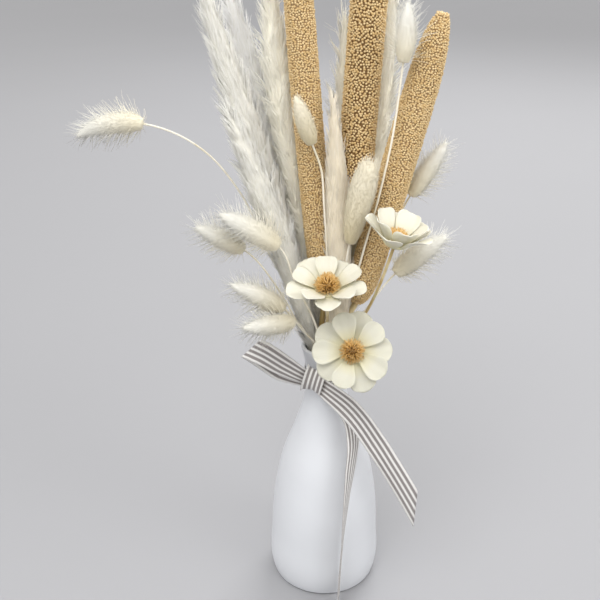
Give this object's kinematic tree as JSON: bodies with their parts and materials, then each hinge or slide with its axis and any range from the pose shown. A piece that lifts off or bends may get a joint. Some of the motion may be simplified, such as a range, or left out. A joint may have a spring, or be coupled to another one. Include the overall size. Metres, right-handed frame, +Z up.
{
  "type": "vase of dried grasses",
  "caption": "Matte white bottle vase with a striped ribbon round its neck, holding dried millet heads, pale feathery plumes, bunny tails and cream daisy-like flowers.",
  "frame": {"origin": "centre of the vase's flat foot, on the surface it stands on", "axes": "+Z up along the vase; the front of the arrangement, with the flowers and the bow, faces -Y and +X is to the right"},
  "size_m": [0.2533, 0.1398, 0.504],
  "materials": {
    "ceramic": "matte white glazed ceramic",
    "ribbon_cloth": "woven cotton ribbon with lengthwise grey and white stripes",
    "millet_grain": "dry millet grain, tan with dark gaps",
    "plume_fluff": "bleached plume, silky and off-white",
    "bunny_tail_fluff": "bleached bunny tail, soft white hairs on a cream core",
    "petal": "ivory petal, matte and thin",
    "flower_bristle": "golden brown bristle",
    "straw_stem": "dry straw, satin"
  },
  "bodies": {
    "root": {"vase": "ceramic", "ribbon": "ribbon_cloth", "millet_1": "millet_grain", "millet_2": "millet_grain", "millet_3": "millet_grain", "plume_1": "plume_fluff", "plume_2": "plume_fluff", "plume_3": "plume_fluff", "plume_4": "plume_fluff", "plume_5": "plume_fluff", "plume_6": "plume_fluff", "plume_7": "plume_fluff", "bunny_tail_1": "bunny_tail_fluff", "bunny_tail_2": "bunny_tail_fluff", "bunny_tail_3": "bunny_tail_fluff", "bunny_tail_4": "bunny_tail_fluff", "bunny_tail_5": "bunny_tail_fluff", "bunny_tail_6": "bunny_tail_fluff", "bunny_tail_7": "bunny_tail_fluff", "bunny_tail_8": "bunny_tail_fluff", "bunny_tail_9": "bunny_tail_fluff", "bunny_tail_10": "bunny_tail_fluff", "flower_1_petals": "petal", "flower_1_centre": "flower_bristle", "flower_1_stem": "straw_stem", "flower_2_petals": "petal", "flower_2_centre": "flower_bristle", "flower_2_stem": "straw_stem", "flower_3_petals": "petal", "flower_3_centre": "flower_bristle", "flower_3_stem": "straw_stem"}
  },
  "joints": []
}
